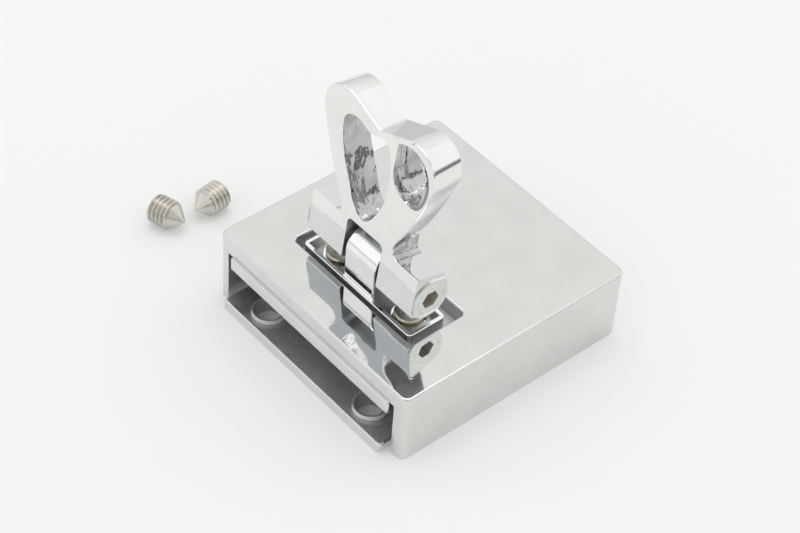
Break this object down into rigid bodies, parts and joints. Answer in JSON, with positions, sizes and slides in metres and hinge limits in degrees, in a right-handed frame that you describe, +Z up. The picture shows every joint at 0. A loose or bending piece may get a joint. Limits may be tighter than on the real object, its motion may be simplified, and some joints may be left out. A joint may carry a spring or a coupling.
{
  "type": "flip-head bag lock clasp",
  "caption": "Square chromed bag lock: a slip-on cover over a C-shaped strap clamp, with a pierced heart-shaped head hinged on a lug.",
  "frame": {"origin": "middle of the cover's square footprint, on its underside", "axes": "+Z up through the cover's top, -Y towards the open mouth of the strap slot, X along the hinge axis"},
  "size_m": [0.0654, 0.0467, 0.0466],
  "materials": {
    "cover_chrome": "polished",
    "clamp_chrome": "polished",
    "hinge_chrome": "polished",
    "head_chrome": "polished",
    "pivot_chrome": "polished",
    "base_nickel": "satin",
    "loose_nickel": "satin"
  },
  "bodies": {
    "base": {"cover": "cover_chrome", "clamp_body": "clamp_chrome", "hinge_base": "hinge_chrome", "base_screw_left": "base_nickel", "base_screw_right": "base_nickel", "clamp_screw_left": "loose_nickel", "clamp_screw_right": "loose_nickel"},
    "head": {"locking_head": "head_chrome", "pivot_screw_left": "pivot_chrome", "pivot_screw_right": "pivot_chrome"}
  },
  "joints": [
    {"name": "head_flip", "type": "hinge", "parent": "base", "child": "head", "pos_m": [0, -0.0096, 0.01875], "axis": [-1, 0, 0], "range_deg": [-4.5, 90]}
  ]
}
